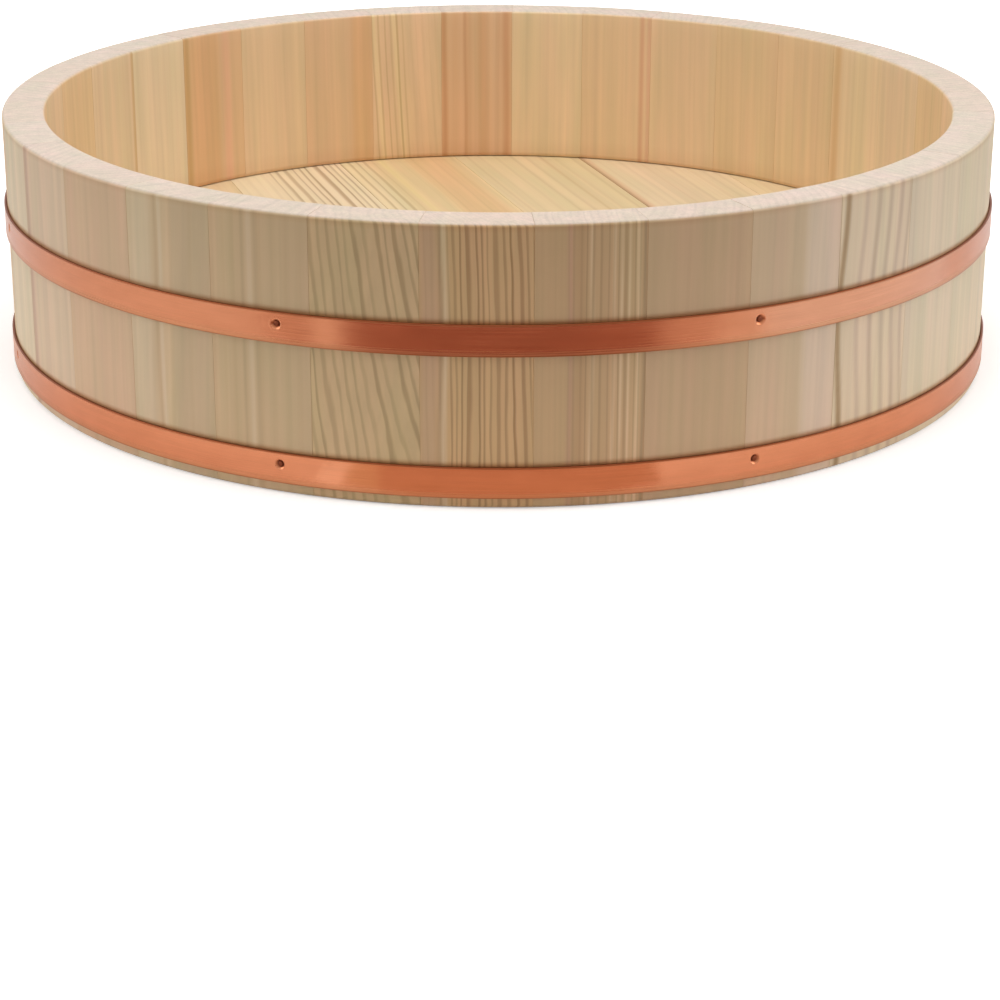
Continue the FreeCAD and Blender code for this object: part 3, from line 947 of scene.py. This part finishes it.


# Stage

# Glowing cards on the floor that only the copper mirrors, as painted reflections in the hoops:
# colour, strength, height and corners
CARDS = {
    "pale_card": ("#E1CDC4", 1.0, 0.0007, (
        (-0.148, -0.212), (0.133, -0.212), (0.475, -0.5), (-0.533, -0.5))),
    "fawn_card": ("#AA7A6B", 1.0, 0.0008, (
        (-0.0792, -0.212), (0.085, -0.212), (0.297, -0.5), (-0.2735, -0.5))),
    "brown_card": ("#9C6B5B", 1.0, 0.0009, (
        (-0.046, -0.212), (0.046, -0.212), (0.157, -0.5), (-0.157, -0.5))),
    "tan_card": ("#E1C0A8", 1.0, 0.0008, (
        (-0.0384, -0.17), (0.056, -0.17), (0.078, -0.212), (-0.0595, -0.212))),
    "sand_card": ("#EEDCC2", 1.0, 0.0008, (
        (-0.052, -0.17), (-0.0384, -0.17), (-0.0595, -0.212), (-0.084, -0.212))),
    "bright_card": ("#FFFFFF", 1.2, 0.0009, (
        (-0.0625, -0.166), (-0.052, -0.166), (-0.066, -0.205), (-0.0765, -0.205))),
    "glint_card": ("#F4F8F6", 1.2, 0.0009, (
        (-0.1008, -0.212), (-0.0849, -0.212), (-0.2942, -0.5), (-0.3518, -0.5))),
    "dusky_card": ("#C0A096", 1.0, 0.0009, (
        (-0.113, -0.212), (-0.1045, -0.212), (-0.3655, -0.5), (-0.397, -0.5))),
    "sky_card": ("#D9EEFF", 1.45, 0.0008, (
        (0.175, -0.198), (0.343, -0.288), (0.42, 0.081), (0.232, -0.026))),
}


def card(context, name, code, strength, level, corners):
    """Flat glowing card just above the floor that shows only in gloss, as a painted reflection,
    with corners in x and y.
    """
    paint, tree, shader = new_material(name)
    set_inputs(tree, shader, {
        "Base Color": (0, 0, 0, 1), "Specular IOR Level": 0.0,
        "Emission Color": (*linear(code), 1), "Emission Strength": strength})
    mesh = new_mesh(name, [(x, y, level) for x, y in corners], [(0, 1, 2, 3)])
    mesh.materials.append(paint)
    sheet = new_object(context, name, mesh)
    sheet.visible_camera = False
    sheet.visible_diffuse = False
    sheet.visible_transmission = False
    sheet.visible_shadow = False


def softbox(context, name, place, size, power):
    """Square area lamp that faces the tub."""
    tub = Vector((0, 0, 0.04))
    lamp = bpy.data.lights.new(name, "AREA")
    lamp.size = size
    lamp.energy = power
    holder = new_object(context, name, lamp)
    holder.location = place
    holder.rotation_euler = (tub - Vector(place)).to_track_quat("-Z", "Y").to_euler()
    return holder


def seen_rays(tree):
    """1 for rays that show the backdrop: straight from the camera, in gloss or through glass."""
    path = add_node(tree, "LightPath")
    seen = add_node(tree, "Math", {
        0: path.outputs["Is Camera Ray"], 1: path.outputs["Is Glossy Ray"]}, operation="MAXIMUM")
    return add_node(tree, "Math", {
        0: seen, 1: path.outputs["Is Transmission Ray"]}, operation="MAXIMUM")


def matt_paper(name, white):
    """White drawing paper, pressed smooth: matt and without gloss, so that it keeps the tub's
    soft shadow."""
    material, tree, shader = new_material(name)
    # It bounces a warm light, more from close round the tub than from further off
    place = add_node(tree, "TexCoord").outputs["Object"]
    away = add_node(tree, "VectorMath", {0: place}, operation="LENGTH")
    far = add_node(tree, "MapRange", {0: away, 1: 0.23, 2: 0.36}, interpolation_type="SMOOTHSTEP")
    bounce = add_node(tree, "Mix", {
        0: far, 6: (0.98, 0.98, 0.96, 1), 7: (0.3, 0.285, 0.26, 1)}, data_type="RGBA")
    base = add_node(tree, "Mix", {
        0: seen_rays(tree), 6: bounce, 7: (*[0.88 * part for part in white], 1)},
        data_type="RGBA")
    # It glows for the camera, white away from the tub's shadow, and the copper sees a
    # faint warm part of that close to the foot
    glow = add_node(tree, "MapRange", {0: away, 1: 0.22, 2: 0.6, 3: 0.4, 4: 1.0})
    sheen = add_node(tree, "MapRange", {0: away, 1: 0.19, 2: 0.3, 3: 0.14, 4: 0.03})
    path = add_node(tree, "LightPath").outputs
    sheen = add_node(tree, "Math", {0: path["Is Glossy Ray"], 1: sheen}, operation="MULTIPLY")
    glow = add_node(tree, "Math", {
        0: path["Is Camera Ray"], 1: glow, 2: sheen}, operation="MULTIPLY_ADD")
    tint = add_node(tree, "Mix", {
        0: path["Is Camera Ray"], 6: (1.0, 0.7, 0.5, 1), 7: (*white, 1)}, data_type="RGBA")
    set_inputs(tree, shader, {
        "Base Color": base, "Roughness": 1.0, "Specular IOR Level": 0.0,
        "Emission Strength": glow, "Emission Color": tint})
    return material


class HANGIRI_OT_stage(bpy.types.Operator):
    """Build the pale floor, the soft studio light and the camera"""
    bl_idname = "hangiri.stage"
    bl_label = "Stage"

    def execute(self, context):
        scene = context.scene
        # The paper reaches 6 m each way, and lies a hair below the tub's foot
        reach, level = 6.0, -0.00005
        corners = [(-reach, -reach), (reach, -reach), (reach, reach), (-reach, reach)]
        mesh = new_mesh("paper_floor", [(x, y, level) for x, y in corners], [(0, 1, 2, 3)])
        mesh.materials.append(matt_paper("matt_paper", scene.hangiri_colours.backdrop))
        floor = new_object(context, "paper_floor", mesh)
        for name, settings in CARDS.items():
            card(context, name, *settings)

        world = bpy.data.worlds.new("studio")
        world.use_nodes = True
        scene.world = world
        tree = world.node_tree
        strength = add_node(tree, "MapRange", {0: seen_rays(tree), 3: 0.28, 4: 1.0})
        set_inputs(tree, tree.nodes["Background"], {
            "Color": (1, 1, 1, 1), "Strength": strength})

        softbox(context, "top_softbox", (0.0, -0.2, 1.4), size=1.2, power=8.1)
        inner = softbox(context, "inner_softbox", (0.0, -0.06, 0.55), size=0.35, power=0.96)
        inner.visible_camera = False
        softbox(context, "left_softbox", (-1.3, -0.15, 0.55), size=1.0, power=6.0)
        softbox(context, "right_softbox", (1.3, -0.15, 0.55), size=1.0, power=6.5)

        # The camera looks down at the tub's front, and is tilted sideways by a hair
        look_down, roll = 21.05, -0.144
        lens = bpy.data.cameras.new("camera")
        lens.lens = 96.35
        lens.sensor_width = 36.0
        camera = new_object(context, "camera", lens)
        camera.location = (0.0, -0.8907, 0.2820)
        camera.rotation_euler = (math.radians(90 - look_down), math.radians(roll), 0)
        scene.camera = camera

        scene.view_settings.view_transform = "Standard"
        return {"FINISHED"}


class HANGIRI_PT_panel(bpy.types.Panel):
    """The tub's pieces, sizes and colours"""
    bl_idname = "HANGIRI_PT_panel"
    bl_label = "Hangiri rice tub"
    bl_space_type = "VIEW_3D"
    bl_region_type = "UI"
    bl_category = "Hangiri"

    def draw(self, context):
        layout = self.layout
        for piece in PIECES:
            layout.operator(piece.bl_idname)
        for group in (context.scene.hangiri_sizes, context.scene.hangiri_colours):
            column = layout.column()
            for name in group.__annotations__:
                column.prop(group, name)


PIECES = (
    HANGIRI_OT_staves, HANGIRI_OT_floor, HANGIRI_OT_hoops, HANGIRI_OT_tacks, HANGIRI_OT_rivets,
    HANGIRI_OT_pegs, HANGIRI_OT_stage,
)
CLASSES = (HangiriSizes, HangiriColours, *PIECES, HANGIRI_PT_panel)


def register():
    for item in CLASSES:
        bpy.utils.register_class(item)
    bpy.types.Scene.hangiri_sizes = PointerProperty(type=HangiriSizes)
    bpy.types.Scene.hangiri_colours = PointerProperty(type=HangiriColours)


def unregister():
    del bpy.types.Scene.hangiri_colours
    del bpy.types.Scene.hangiri_sizes
    for item in reversed(CLASSES):
        bpy.utils.unregister_class(item)


def main():
    register()
    bpy.ops.hangiri.staves()
    bpy.ops.hangiri.floor()
    bpy.ops.hangiri.hoops()
    bpy.ops.hangiri.tacks()
    bpy.ops.hangiri.rivets()
    bpy.ops.hangiri.pegs()
    bpy.ops.hangiri.stage()


if __name__ == "__main__":
    main()
